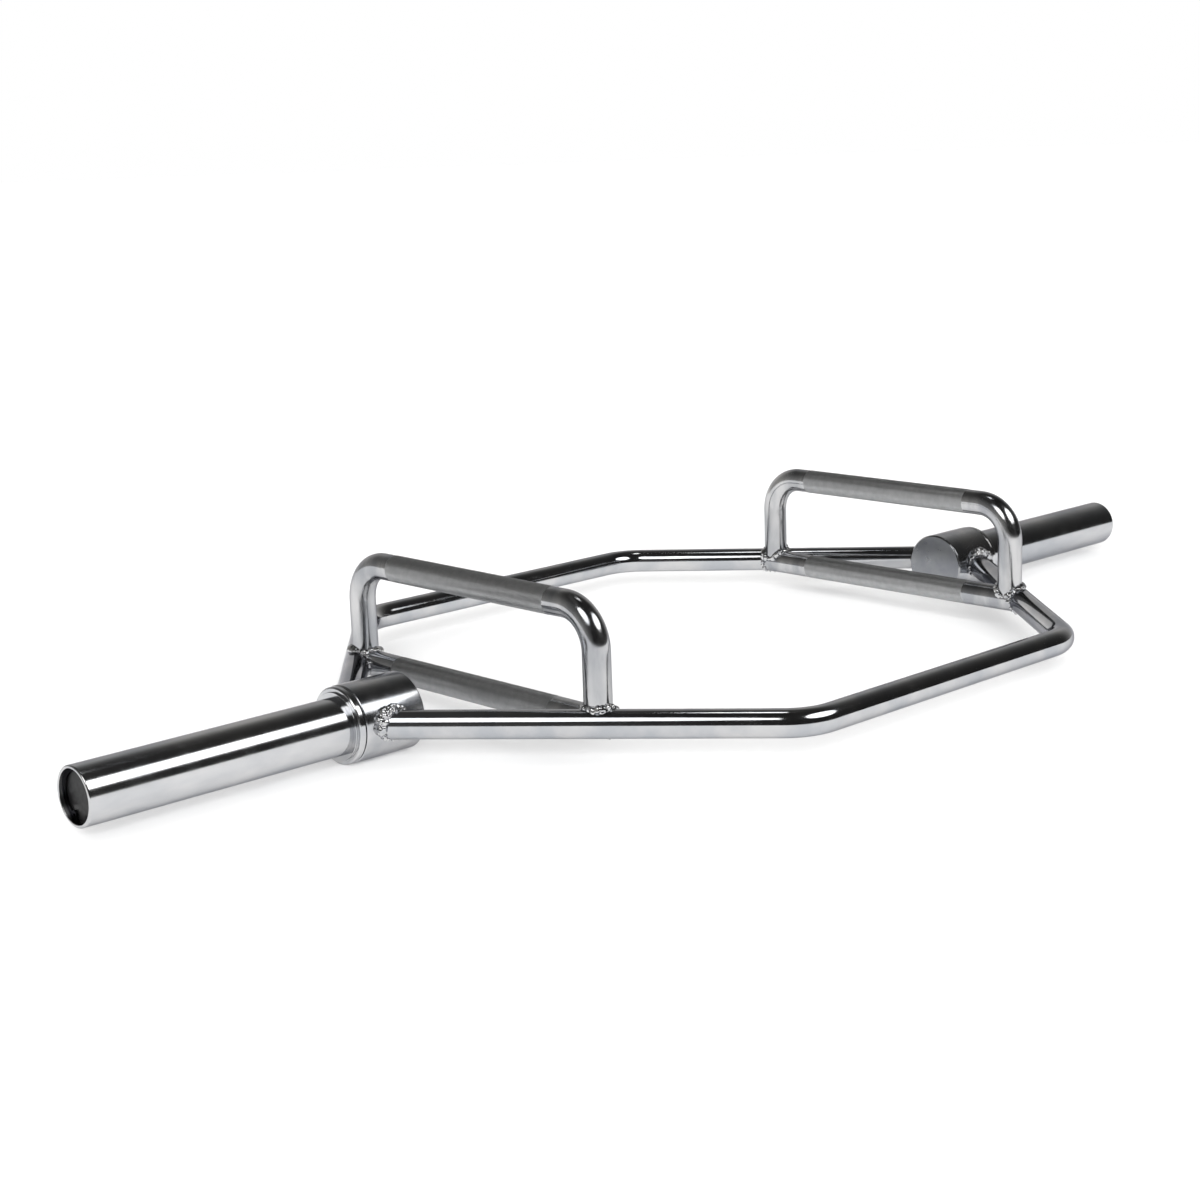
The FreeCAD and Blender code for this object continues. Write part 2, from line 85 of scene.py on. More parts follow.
# Weld beads: the drops' size, the lumps on the skin, and the bead's share of its full size at each place
HUB_BEAD = {"drop": 4.2 * MM, "lump_length": 2.6 * MM, "lump_height": 1.0 * MM}
HANDLE_BEAD = {"drop": 2.9 * MM, "lump_length": 3 * MM, "lump_height": 0.8 * MM}
HUB_BEAD_SHIFT = 2 * MM
HUB_BEAD_THIN_SHARE, HUB_BEAD_SWELL_SHARE = 0.27, 0.85
LEG_BEAD_SHARE, LEG_BEAD_FREE_SHARE = 1.12, 0.55
LEG_BEAD_LIFT = 1 * MM
GRIP_BEAD_TOP_SHARE, GRIP_BEAD_UNDER_SHARE = 0.8, 0.5
HANDLE_BEAD_SEED = 10
# Fineness of the meshes
BEND_STEPS = 40
SEAM_MERGE = 0.01 * MM
BEAD_VOXEL = 0.4 * MM
GRAIN_HEIGHT = 0.1 * MM
FACE_TOLERANCE = 0.05 * MM

SIDES = {"left": -1, "right": 1}
SIDEWAYS = {"front": -1, "rear": 1}


# Node helpers
def add(tree, kind, inputs=(), **settings):
    """Adds one node: a socket given for an input is linked, a plain value is set."""
    made = tree.nodes.new(kind)
    for name, value in settings.items():
        setattr(made, name, value)
    for key, value in dict(inputs).items():
        if isinstance(value, bpy.types.NodeSocket):
            tree.links.new(value, made.inputs[key])
        else:
            made.inputs[key].default_value = value
    return made


def reckon(tree, operation, *values):
    """Adds a Math node and returns its result."""
    return add(tree, "ShaderNodeMath", dict(enumerate(values)), operation=operation).outputs[0]


def count(tree, operation, *values):
    """Adds a whole-number Math node and returns its result."""
    return add(tree, "FunctionNodeIntegerMath", dict(enumerate(values)), operation=operation).outputs[0]


SOCKETS = {float: "NodeSocketFloat", int: "NodeSocketInt", Vector: "NodeSocketVector"}


def open_tree(name, sizes):
    """A Geometry Nodes tree with a named input for each size and for the material."""
    tree = bpy.data.node_groups.new(name, "GeometryNodeTree")
    face = tree.interface
    face.new_socket("Geometry", in_out="INPUT", socket_type="NodeSocketGeometry")
    for label, value in sizes.items():
        made = face.new_socket(label, in_out="INPUT", socket_type=SOCKETS[type(value)])
        made.default_value = value
    face.new_socket("Material", in_out="INPUT", socket_type="NodeSocketMaterial")
    face.new_socket("Geometry", in_out="OUTPUT", socket_type="NodeSocketGeometry")
    return tree, tree.nodes.new("NodeGroupInput").outputs


def close_tree(tree, shape, material):
    """Ends a tree in Realize Instances and Set Material."""
    real = add(tree, "GeometryNodeRealizeInstances", {"Geometry": shape})
    painted = add(tree, "GeometryNodeSetMaterial", {"Geometry": real.outputs[0], "Material": material})
    add(tree, "NodeGroupOutput", {0: painted.outputs[0]})
    return tree


def bent_bar_tree():
    """A round bar along a path of corners, each bent to one radius."""
    tree, given = open_tree(
        "bent_bar", {"Bar radius": BAR_RADIUS, "Bend radius": HEX_BEND, "Step": 2.5 * MM, "Sides": 72}
    )
    path = add(tree, "GeometryNodeMeshToCurve", {"Mesh": given["Geometry"]}).outputs[0]
    bent = add(
        tree,
        "GeometryNodeFilletCurve",
        {"Curve": path, "Count": BEND_STEPS, "Radius": given["Bend radius"]},
        mode="POLY",
    ).outputs[0]
    even = add(
        tree, "GeometryNodeResampleCurve", {"Curve": bent, "Length": given["Step"]}, mode="LENGTH"
    ).outputs[0]
    round_section = add(
        tree,
        "GeometryNodeCurvePrimitiveCircle",
        {"Resolution": given["Sides"], "Radius": given["Bar radius"]},
    ).outputs[0]
    swept = add(
        tree, "GeometryNodeCurveToMesh", {"Curve": even, "Profile Curve": round_section, "Fill Caps": True}
    ).outputs[0]
    return close_tree(tree, swept, given["Material"])


def knurl_tree():
    """A rod cut with crossing grooves: crests and roots take turns on a grid wrapped round the rod."""
    tree, given = open_tree(
        "knurled_rod",
        {
            "Crest radius": KNURL_CREST,
            "Root radius": KNURL_ROOT,
            "Length": KNURL_LENGTH,
            "Round": KNURL_ROUND,
            "Along": KNURL_ALONG,
            "Centre": Vector((0, 0, 0)),
        },
    )
    columns = count(tree, "ADD", given["Round"], 1)
    rows = count(tree, "ADD", given["Along"], 3)
    grid = add(tree, "GeometryNodeMeshGrid", {"Vertices X": columns, "Vertices Y": rows}).outputs[0]
    index = add(tree, "GeometryNodeInputIndex").outputs[0]
    column = count(tree, "DIVIDE_FLOOR", index, rows)
    row = count(tree, "MODULO", index, rows)
    last = count(tree, "SUBTRACT", rows, 1)
    # The first and the last row close the rod's two ends at its axis
    inner = count(tree, "SUBTRACT", last, 1)
    kept = count(tree, "MAXIMUM", count(tree, "MINIMUM", row, inner), 1)
    off_end = reckon(tree, "COMPARE", row, kept, 0.5)
    first_ring = reckon(tree, "COMPARE", kept, 1, 0.5)
    last_ring = reckon(tree, "COMPARE", kept, inner, 0.5)
    edge = reckon(tree, "MAXIMUM", first_ring, last_ring)
    parity = count(tree, "MODULO", count(tree, "ADD", column, row), 2)
    even = reckon(tree, "SUBTRACT", 1, parity)
    crest = reckon(tree, "MULTIPLY", even, reckon(tree, "SUBTRACT", 1, edge))
    depth = reckon(tree, "SUBTRACT", given["Crest radius"], given["Root radius"])
    ridge = reckon(tree, "MULTIPLY_ADD", crest, depth, given["Root radius"])
    radius = reckon(tree, "MULTIPLY", ridge, off_end)
    turn = reckon(tree, "DIVIDE", reckon(tree, "MULTIPLY", column, math.tau), given["Round"])
    share = reckon(tree, "DIVIDE", reckon(tree, "SUBTRACT", kept, 1), given["Along"])
    along = reckon(tree, "MULTIPLY", reckon(tree, "SUBTRACT", share, 0.5), given["Length"])
    place = add(
        tree,
        "ShaderNodeCombineXYZ",
        {
            "X": reckon(tree, "MULTIPLY", radius, reckon(tree, "COSINE", turn)),
            "Y": along,
            "Z": reckon(tree, "MULTIPLY", radius, reckon(tree, "SINE", turn)),
        },
    ).outputs[0]
    wrapped = add(
        tree, "GeometryNodeSetPosition", {"Geometry": grid, "Position": place, "Offset": given["Centre"]}
    ).outputs[0]
    closed = add(
        tree, "GeometryNodeMergeByDistance", {"Geometry": wrapped, "Distance": SEAM_MERGE}
    ).outputs[0]
    cut = add(
        tree, "GeometryNodeTriangulate", {"Mesh": closed}, quad_method="SHORTEST_DIAGONAL"
    ).outputs[0]
    return close_tree(tree, cut, given["Material"])


def weld_tree():
    """A weld bead laid along a path: overlapping drops of uneven size, scaled by the path's own size."""
    tree, given = open_tree(
        "weld_bead",
        {"Drop radius": 3.2 * MM, "Drop step": 1.2 * MM, "Unevenness": 0.3, "Wander": 1.2 * MM, "Seed": 3},
    )
    path = add(tree, "GeometryNodeMeshToCurve", {"Mesh": given["Geometry"]}).outputs[0]
    steps = add(
        tree, "GeometryNodeResampleCurve", {"Curve": path, "Length": given["Drop step"]}, mode="LENGTH"
    ).outputs[0]
    wander = given["Wander"]
    least = reckon(tree, "MULTIPLY", wander, -1)
    drift = add(
        tree,
        "FunctionNodeRandomValue",
        {0: least, 1: wander, "Seed": given["Seed"]},
        data_type="FLOAT_VECTOR",
    ).outputs[0]
    uneven = add(tree, "GeometryNodeSetPosition", {"Geometry": steps, "Offset": drift}).outputs[0]
    drop = add(
        tree, "GeometryNodeMeshIcoSphere", {"Radius": given["Drop radius"], "Subdivisions": 2}
    ).outputs[0]
    spread = given["Unevenness"]
    chance = add(
        tree,
        "FunctionNodeRandomValue",
        {
            2: reckon(tree, "SUBTRACT", 1, spread),
            3: reckon(tree, "ADD", 1, spread),
            "Seed": count(tree, "ADD", given["Seed"], 50),
        },
        data_type="FLOAT",
    ).outputs[1]
    laid = add(tree, "GeometryNodeInputNamedAttribute", {"Name": "laid"}, data_type="FLOAT").outputs[0]
    drops = add(
        tree,
        "GeometryNodeInstanceOnPoints",
        {"Points": uneven, "Instance": drop, "Scale": reckon(tree, "MULTIPLY", chance, laid)},
    ).outputs[0]
    return close_tree(tree, drops, given["Material"])


# Making pieces
def linked(name, mesh):
    """An object for a mesh, at the origin."""
    made = bpy.data.objects.new(name, mesh)
    scene.collection.objects.link(made)
    return made


def path_mesh(points):
    """A mesh of edges only, for a tree to follow."""
    mesh = bpy.data.meshes.new("path")
    edges = [(i, i + 1) for i in range(len(points) - 1)]
    mesh.from_pydata(points, edges, [])
    return mesh


def grown(name, tree, start, sizes, material, finishing=None):
    """Runs a tree on a start mesh, with its inputs set by identifier, and returns a plain mesh."""
    carrier = linked(name + "_start", start)
    shaper = carrier.modifiers.new("shape", "NODES")
    shaper.node_group = tree
    wanted = dict(sizes, Material=material)
    for item in tree.interface.items_tree:
        if item.in_out == "INPUT" and item.name in wanted:
            shaper[item.identifier] = wanted[item.name]
    if finishing:
        finishing(carrier)
    graph = bpy.context.evaluated_depsgraph_get()
    mesh = bpy.data.meshes.new_from_object(carrier.evaluated_get(graph), depsgraph=graph)
    carrier.modifiers.clear()
    bpy.data.objects.remove(carrier)
    mesh.name = name
    mesh.materials.clear()
    mesh.materials.append(material)
    return mesh


def outward(mesh, merge=0.002 * MM):
    """Merges doubles, drops edges that no face uses and turns every face outwards."""
    work = bmesh.new()
    work.from_mesh(mesh)
    bmesh.ops.remove_doubles(work, verts=work.verts, dist=merge)
    loose = [edge for edge in work.edges if not edge.link_faces]
    bmesh.ops.delete(work, geom=loose, context="EDGES")
    bmesh.ops.recalc_face_normals(work, faces=work.faces)
    work.to_mesh(mesh)
    work.free()


def smoothed(mesh, degrees=40):
    """Smooth shading, with sharp edges past an angle."""
    work = bmesh.new()
    work.from_mesh(mesh)
    for face in work.faces:
        face.smooth = True
    for edge in work.edges:
        edge.smooth = len(edge.link_faces) != 2 or edge.calc_face_angle(0) < math.radians(degrees)
    work.to_mesh(mesh)
    work.free()


def placed(name, mesh, body, slot, *nodes):
    """Makes a mesh a piece that rides on a body and stands for CAD nodes."""
    piece = linked(name, mesh)
    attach(piece, body)
    if nodes:
        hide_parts(*nodes)
    return piece


def rounded(outline, radius, steps=4, hold=0.35 * MM):
    """Rounds an outline's corners, save those on the axis, and holds its flats with a point by each."""
    made = []
    for i, corner in enumerate(outline):
        corner = Vector(corner)
        if corner.y <= 0:
            made.append(corner)
            continue
        before, after = Vector(outline[i - 1]), Vector(outline[(i + 1) % len(outline)])
        back, ahead = before - corner, after - corner
        reach = min(radius, 0.3 * back.length, 0.3 * ahead.length)
        held = min(hold, 0.1 * back.length, 0.1 * ahead.length)
        start, end = corner + back.normalized() * reach, corner + ahead.normalized() * reach
        made.append(start + back.normalized() * held)
        for k in range(steps + 1):
            t = k / steps
            made.append(start * (1 - t) ** 2 + corner * 2 * t * (1 - t) + end * t ** 2)
        made.append(end + ahead.normalized() * held)
    return made


def turned(name, outline, side, edge=0.3 * MM, facets=160):
    """A piece turned about the long axis from an outline of (place along X, radius), on either side."""
    profile = rounded(outline, edge)
    mesh = bpy.data.meshes.new(name)
    corners, faces = [], []
    rows = len(profile)
    for k in range(facets):
        turn = math.tau * k / facets
        for along, radius in profile:
            radius = max(radius, 0)
            corners.append((side * along, radius * math.cos(turn), AXIS_HEIGHT + radius * math.sin(turn)))
    for k in range(facets):
        nearer, further = k * rows, (k + 1) % facets * rows
        for i in range(rows):
            j = (i + 1) % rows
            faces.append((nearer + i, nearer + j, further + j, further + i))
    mesh.from_pydata(corners, [], faces)
    outward(mesh)
    smoothed(mesh)
    return mesh


# Materials
def finish(name):
    """A new material and its main shader."""
    made = bpy.data.materials.new(name)
    made.use_nodes = True
    return made, made.node_tree, made.node_tree.nodes["Principled BSDF"]


def noise(tree, scale, detail=3.0, stretch=(1, 1, 1)):
    """Noise on the piece's own Object coordinates."""
    where = add(tree, "ShaderNodeTexCoord").outputs["Object"]
    turned_to = add(tree, "ShaderNodeMapping", {"Vector": where, "Scale": stretch}).outputs[0]
    return add(
        tree, "ShaderNodeTexNoise", {"Vector": turned_to, "Scale": scale, "Detail": detail}
    ).outputs[0]


def ranged(tree, value, low, high, start=0.3, end=0.7):
    """Maps a value to a range."""
    return add(
        tree, "ShaderNodeMapRange", {"Value": value, 1: start, 2: end, 3: low, 4: high}
    ).outputs[0]


def two_tones(tree, value, dark, light):
    """Mixes two colours by a value."""
    made = add(tree, "ShaderNodeMix", {"Factor": value}, data_type="RGBA")
    made.inputs[6].default_value = (*dark, 1)
    made.inputs[7].default_value = (*light, 1)
    return made.outputs[2]


def grained(tree, shader, height, depth):
    """Gives a shader a fine grain from a height."""
    bump = add(
        tree, "ShaderNodeBump", {"Height": height, "Strength": depth, "Distance": GRAIN_HEIGHT}
    ).outputs[0]
    tree.links.new(bump, shader.inputs["Normal"])


# Tint of a metal's mirror image at its edges, darker than chrome's own: painted shade along every
# silhouette, standing in for the shadowed floor mirrored there
EDGE_SHADE_TINT = (0.4, 0.4, 0.42, 1)


def metal(name, dark, light, rough, cloud=14, grain=0, grain_depth=0.0, stretch=(1, 1, 1)):
    """A metal with a clouded tone and gloss, and a fine surface grain."""
    made, tree, shader = finish(name)
    shader.inputs["Metallic"].default_value = 1.0
    # Painted shade: the edge tint darkens the mirror image along the silhouettes
    shader.inputs["Specular Tint"].default_value = EDGE_SHADE_TINT
    clouds = ranged(tree, noise(tree, cloud, 5.0, stretch), 0.0, 1.0, 0.37, 0.63)
    tree.links.new(two_tones(tree, clouds, dark, light), shader.inputs["Base Color"])
    tree.links.new(ranged(tree, noise(tree, cloud * 2.3), *rough), shader.inputs["Roughness"])
    if grain:
        grained(tree, shader, noise(tree, grain, 2.0), grain_depth)
    return made


def plastic(name, dark, light, rough, grain, grain_depth):
    """A moulded plastic with a fine grain."""
    made, tree, shader = finish(name)
    shader.inputs["Specular IOR Level"].default_value = 0.3
    tree.links.new(two_tones(tree, noise(tree, 60), dark, light), shader.inputs["Base Color"])
    tree.links.new(ranged(tree, noise(tree, 220), *rough), shader.inputs["Roughness"])
    grained(tree, shader, noise(tree, grain), grain_depth)
    return made


# Stretch of the clouds along a raised handle's legs and along the sleeves
LEG_STREAK = (1, 1, 0.3)
SLEEVE_STREAK = (0.35, 1, 1)

# Each finish: its dark and light tone, its range of roughness, then the size of its clouds and of its grain
bar_chrome = metal(
    "bar_chrome", (0.46, 0.475, 0.5), (0.59, 0.59, 0.595), (0.07, 0.13), 26, 45, 0.04
)
handle_chrome = metal(
    "handle_chrome", (0.36, 0.37, 0.39), (0.58, 0.58, 0.585), (0.12, 0.2), 45, 60, 0.06, LEG_STREAK
)
sleeve_chrome = metal(
    "sleeve_chrome", (0.47, 0.485, 0.51), (0.64, 0.64, 0.645), (0.11, 0.17), 30, 35, 0.1, SLEEVE_STREAK
)
hub_chrome = metal(
    "hub_chrome", (0.44, 0.455, 0.48), (0.6, 0.6, 0.605), (0.13, 0.2), 30, 60, 0.12
)
hub_face_chrome = metal(
    "hub_face_satin", (0.27, 0.28, 0.305), (0.34, 0.35, 0.365), (0.26, 0.36), 40, 600, 0.2
)
knurl_chrome = metal("knurl_chrome", (0.4, 0.405, 0.41), (0.45, 0.455, 0.46), (0.3, 0.38), 160)
weld_chrome = metal(
    "weld_chrome", (0.5, 0.51, 0.53), (0.66, 0.66, 0.66), (0.05, 0.14), 160, 900, 0.5
)
turned_steel = metal(
    "turned_steel", (0.36, 0.36, 0.37), (0.45, 0.45, 0.46), (0.25, 0.4), 60, 800, 0.2
)
bronze = metal("bush_bronze", (0.42, 0.27, 0.12), (0.55, 0.36, 0.17), (0.3, 0.45), 90, 700, 0.2)
spring_steel = metal(
    "blackened_spring_steel", (0.018, 0.018, 0.02), (0.035, 0.035, 0.036), (0.3, 0.45), 90, 900, 0.3
)
cap_black = plastic(
    "black_cap", (0.003, 0.003, 0.0035), (0.006, 0.006, 0.0065), (0.36, 0.48), 1500, 0.2
)

# Shapes that repeat
bent_bar = bent_bar_tree()
knurl = knurl_tree()
weld = weld_tree()


def bar_piece(name, corners, radius, bend, look, slot, node):
    """A bent bar along its corners, in place of its CAD node."""
    sizes = {"Bar radius": radius, "Bend radius": bend}
    mesh = grown(name, bent_bar, path_mesh(corners), sizes, look)
    outward(mesh)
    smoothed(mesh)
    return placed(name, mesh, "frame", slot, node)


# Bent bars of the hexagon, each seated in both hubs
slope = math.atan2(HEX_HALF_WIDTH, HEX_APEX - HEX_CORNER)
end_side = HUB_RADIUS - BAR_SEAT
end_along = HEX_APEX - end_side / math.tan(slope)
for row, way in SIDEWAYS.items():
    corners = [
        (-end_along, way * end_side, AXIS_HEIGHT),
        (-HEX_CORNER, way * HEX_HALF_WIDTH, AXIS_HEIGHT),
        (HEX_CORNER, way * HEX_HALF_WIDTH, AXIS_HEIGHT),
        (end_along, way * end_side, AXIS_HEIGHT),
    ]
    name, node = row + "_bent_bar", row + "_hex_bar"
    bar_piece(name, corners, BAR_RADIUS, HEX_BEND, bar_chrome, "bright_chrome", node)

# Handles: a straight one between the slanting legs, and a raised one above it
handle_reach = (HEX_APEX - HANDLE_PLANE) * math.tan(slope)
leg_side = handle_reach - RAISED_LEG_INSET
grip_height = AXIS_HEIGHT + RAISED_RISE
for hand, side in SIDES.items():
    plane = side * HANDLE_PLANE
    low = [(plane, -handle_reach, AXIS_HEIGHT), (plane, handle_reach, AXIS_HEIGHT)]
    foot = AXIS_HEIGHT + RAISED_LEG_FOOT
    raised = [
        (plane, -leg_side, foot),
        (plane, -leg_side, grip_height),
        (plane, leg_side, grip_height),
        (plane, leg_side, foot),
    ]
    for grip, corners in (("low", low), ("raised", raised)):
        name, node = f"{hand}_{grip}_bar", f"{hand}_{grip}_handle"
        bar_piece(name, corners, HANDLE_RADIUS, RAISED_BEND, handle_chrome, "handle_chrome", node)
    for grip, height in (("low", AXIS_HEIGHT), ("raised", grip_height)):
        name = f"{hand}_{grip}_knurl"
        sizes = {"Centre": Vector((plane, 0, height))}
        mesh = grown(name, knurl, bpy.data.meshes.new("start"), sizes, knurl_chrome)
        outward(mesh)
        placed(name, mesh, "frame", "handle_chrome")


# Weld beads: each path is a list of points with the bead's share of its full size there
def hub_weld_path(side, way, lift=0.3 * MM, steps=72):
    """Where a slanting leg meets the hub, a little out on the leg; heaviest on top and outside."""
    points = []
    for k in range(steps):
        turn = math.tau * k / steps
        rise = (BAR_RADIUS + lift) * math.cos(turn)
        offset = (BAR_RADIUS + lift) * math.sin(turn)
        depth = math.sqrt((HUB_RADIUS + lift) ** 2 - rise ** 2)
        run = (depth - offset * math.cos(slope)) / math.sin(slope) + HUB_BEAD_SHIFT
        aside = run * math.sin(slope) + offset * math.cos(slope)
        along = HEX_APEX - run * math.cos(slope) + offset * math.sin(slope)
        weight = min(1.0, max(0.0, 0.15 + 0.8 * math.cos(turn) + 0.6 * math.sin(turn)))
        share = HUB_BEAD_THIN_SHARE + HUB_BEAD_SWELL_SHARE * weight
        points.append(((side * along, way * aside, AXIS_HEIGHT + rise), share))
    return points


def leg_weld_path(side, way, lift=0.2 * MM, steps=60):
    """Where a raised handle's leg stands on the slanting leg and the low handle; thin where it is free."""
    points = []
    for k in range(steps):
        turn = math.tau * k / steps
        away = (HANDLE_RADIUS + lift) * math.cos(turn)
        along_y = leg_side + (HANDLE_RADIUS + lift) * math.sin(turn)
        gap = away * math.sin(slope) + (along_y - handle_reach) * math.cos(slope)
        on_bar = math.sqrt(max(0.0, (BAR_RADIUS + lift) ** 2 - gap ** 2))
        on_grip = 0.0
        if along_y < handle_reach:
            on_grip = math.sqrt(max(0.0, (HANDLE_RADIUS + lift) ** 2 - away ** 2))
        least = RAISED_LEG_FOOT + LEG_BEAD_LIFT
        rise = max(on_bar, on_grip, least)
        share = LEG_BEAD_SHARE if rise > least else LEG_BEAD_FREE_SHARE
        points.append(((side * (HANDLE_PLANE + away), way * along_y, AXIS_HEIGHT + rise), share))
    return points


def grip_weld_path(side, way, lift=0.2 * MM, steps=60):
    """Where the end of a low handle meets the slanting leg."""
    points = []
    for k in range(steps):
        turn = math.tau * k / steps
        away = (HANDLE_RADIUS + lift) * math.cos(turn)
        rise = (HANDLE_RADIUS + lift) * math.sin(turn)
        gap = -math.sqrt(max(0.0, (BAR_RADIUS + lift) ** 2 - rise ** 2))
        along_y = handle_reach + (gap - away * math.sin(slope)) / math.cos(slope)
        share = GRIP_BEAD_TOP_SHARE if rise > 0 else GRIP_BEAD_UNDER_SHARE
        points.append(((side * (HANDLE_PLANE + away), way * along_y, AXIS_HEIGHT + rise), share))
    return points


def fused_drops(carrier):
    """Melts the drops of a bead into one skin."""
    skin = carrier.modifiers.new("skin", "REMESH")
    skin.mode = "VOXEL"
    skin.voxel_size = BEAD_VOXEL
    flow = carrier.modifiers.new("flow", "SMOOTH")
    flow.iterations = 3
    flow.factor = 0.5


def bead_mesh(name, paths, seed, drop, lump_length, lump_height):
    """One lumpy skin for the beads of a joint, each a closed ring."""
    start = bpy.data.meshes.new("path")
    corners = [point for path in paths for point, share in path]
    edges, first = [], 0
    for path in paths:
        last = first + len(path) - 1
        edges += [(i, i + 1) for i in range(first, last)] + [(last, first)]
        first = last + 1
    start.from_pydata(corners, edges, [])
    laid = start.attributes.new("laid", "FLOAT", "POINT")
    laid.data.foreach_set("value", [share for path in paths for point, share in path])
    mesh = grown(name, weld, start, {"Drop radius": drop, "Seed": seed}, weld_chrome, fused_drops)
    outward(mesh)
    normals = [v.normal.copy() for v in mesh.vertices]
    for vertex, normal in zip(mesh.vertices, normals):
        vertex.co += normal * lump_height * lump(vertex.co / lump_length)
    smoothed(mesh, 180)
    return mesh


bead_number = 0
for hand, side in SIDES.items():
    for row, way in SIDEWAYS.items():
        bead_number += 1
        name = f"{hand}_{row}_hub_bead"
        mesh = bead_mesh(name, [hub_weld_path(side, way)], bead_number, **HUB_BEAD)
        placed(name, mesh, "frame", "weld_chrome", "hub_welds")
        name = f"{hand}_{row}_handle_bead"
        paths = [leg_weld_path(side, way), grip_weld_path(side, way)]
        mesh = bead_mesh(name, paths, bead_number + HANDLE_BEAD_SEED, **HANDLE_BEAD)
        placed(name, mesh, "frame", "weld_chrome", "handle_welds")

# Hubs, sleeves, collars and caps are turned
for hand, side in SIDES.items():
    unit = hand + "_sleeve_unit"
    seat = HUB_OUTER - WASHER_SEAT_DEPTH
    hub_outline = [
        (HUB_INNER, 0),
        (HUB_INNER, HUB_RADIUS - HUB_INNER_CHAMFER),
        (HUB_INNER + HUB_INNER_CHAMFER, HUB_RADIUS),
        (HUB_OUTER - HUB_OUTER_CHAMFER, HUB_RADIUS),
        (HUB_OUTER, HUB_RADIUS - HUB_OUTER_CHAMFER),
        (HUB_OUTER, WASHER_SEAT_RADIUS),
        (seat, WASHER_SEAT_RADIUS),
        (seat, 0),
    ]
    mesh = turned(hand + "_hub", hub_outline, side)
    mesh.materials.append(hub_chrome)
    mesh.materials.append(hub_face_chrome)
    for face in mesh.polygons:
        if abs(face.center.x) < HUB_INNER + FACE_TOLERANCE:
            face.material_index = 1
    placed(hand + "_hub_body", mesh, "frame", "bright_chrome", hand + "_hub")

    lip = []
    for k in range(LIP_STEPS + 1):
        turn = math.pi / 2 * k / LIP_STEPS
        lip.append((
            SLEEVE_TIP - LIP_ROUND + LIP_ROUND * math.sin(turn),
            SLEEVE_RADIUS - LIP_ROUND + LIP_ROUND * math.cos(turn),
        ))
    sleeve_outline = [
        (COLLAR_INNER, BUSH_RADIUS),
        (COLLAR_INNER, SLEEVE_SEAT_RADIUS),
        (STEP_OUTER, SLEEVE_SEAT_RADIUS),
        (STEP_OUTER, SLEEVE_RADIUS),
        *lip,
        (SLEEVE_TIP, MOUTH_RADIUS + MOUTH_CHAMFER),
        (SLEEVE_TIP - MOUTH_CHAMFER, MOUTH_RADIUS),
        (GROOVE_FRONT, MOUTH_RADIUS),
        (GROOVE_FRONT, GROOVE_RADIUS),
        (CAP_FRONT, GROOVE_RADIUS),
        (CAP_FRONT, MOUTH_RADIUS),
        (CAP_BACK, MOUTH_RADIUS),
        (CAP_BACK, BUSH_RADIUS),
    ]
    mesh = turned(hand + "_sleeve", sleeve_outline, side)
    mesh.materials.append(sleeve_chrome)
    placed(hand + "_sleeve_tube", mesh, unit, "sleeve_chrome", hand + "_sleeve")

    collar_outline = [
        (COLLAR_INNER, SLEEVE_SEAT_RADIUS),
        (COLLAR_INNER, COLLAR_RADIUS - COLLAR_INNER_CHAMFER),
        (COLLAR_INNER + COLLAR_INNER_CHAMFER, COLLAR_RADIUS),
        (COLLAR_OUTER - COLLAR_OUTER_CHAMFER, COLLAR_RADIUS),
        (COLLAR_OUTER, COLLAR_RADIUS - COLLAR_OUTER_CHAMFER),
        (COLLAR_OUTER, STEP_RADIUS),
        (STEP_OUTER, STEP_RADIUS),
        (STEP_OUTER, SLEEVE_SEAT_RADIUS),
    ]
    mesh = turned(hand + "_collar", collar_outline, side)
    mesh.materials.append(sleeve_chrome)
    placed(hand + "_collar_ring", mesh, unit, "sleeve_chrome", hand + "_stop_collar")

    cap_outline = [
        (CAP_BACK, 0),
        (CAP_BACK, CAP_RADIUS),
        (CAP_FRONT - CAP_CHAMFER, CAP_RADIUS),
        (CAP_FRONT, CAP_RADIUS - CAP_CHAMFER),
        (CAP_FRONT, 0),
    ]
    mesh = turned(hand + "_cap", cap_outline, side)
    mesh.materials.append(cap_black)
    placed(hand + "_cap_disc", mesh, unit, "black_cap", hand + "_end_cap")

# CAD nodes that show as they are get their finish
CAD_FINISHES = {
    "spindle": turned_steel,
    "retaining_washer": turned_steel,
    "thrust_washer": bronze,
    "inner_bush": bronze,
    "outer_bush": bronze,
    "spindle_ring": spring_steel,
    "cap_ring": spring_steel,
}
for hand in SIDES:
    for part, look in CAD_FINISHES.items():
        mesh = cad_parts[f"{hand}_{part}"].data
        mesh.materials.clear()
        mesh.materials.append(look)

# Camera at the photograph's angle
VIEW_AZIMUTH = math.radians(46.7862)
VIEW_DROP = math.radians(12.7107)
VIEW_ROLL = math.radians(2.0019)
VIEW_PLACE = Vector((-1.42126, -1.3691, 0.51102))
VIEW_LENS = 61.705
ahead = Vector((
    math.cos(VIEW_DROP) * math.cos(VIEW_AZIMUTH),
    math.cos(VIEW_DROP) * math.sin(VIEW_AZIMUTH),
    -math.sin(VIEW_DROP),
))
level = Vector((math.sin(VIEW_AZIMUTH), -math.cos(VIEW_AZIMUTH), 0))
below = ahead.cross(level)
right = level * math.cos(VIEW_ROLL) + below * math.sin(VIEW_ROLL)
up = level * math.sin(VIEW_ROLL) - below * math.cos(VIEW_ROLL)
lens = bpy.data.cameras.new("camera")
lens.sensor_width = 36
lens.lens = VIEW_LENS
lens.clip_start = 0.05
lens.clip_end = 200
camera = bpy.data.objects.new("camera", lens)
scene.collection.objects.link(camera)
camera.matrix_world = Matrix((
    (right.x, up.x, -ahead.x, VIEW_PLACE.x),
    (right.y, up.y, -ahead.y, VIEW_PLACE.y),
    (right.z, up.z, -ahead.z, VIEW_PLACE.z),
    (0, 0, 0, 1),
))
scene.camera = camera

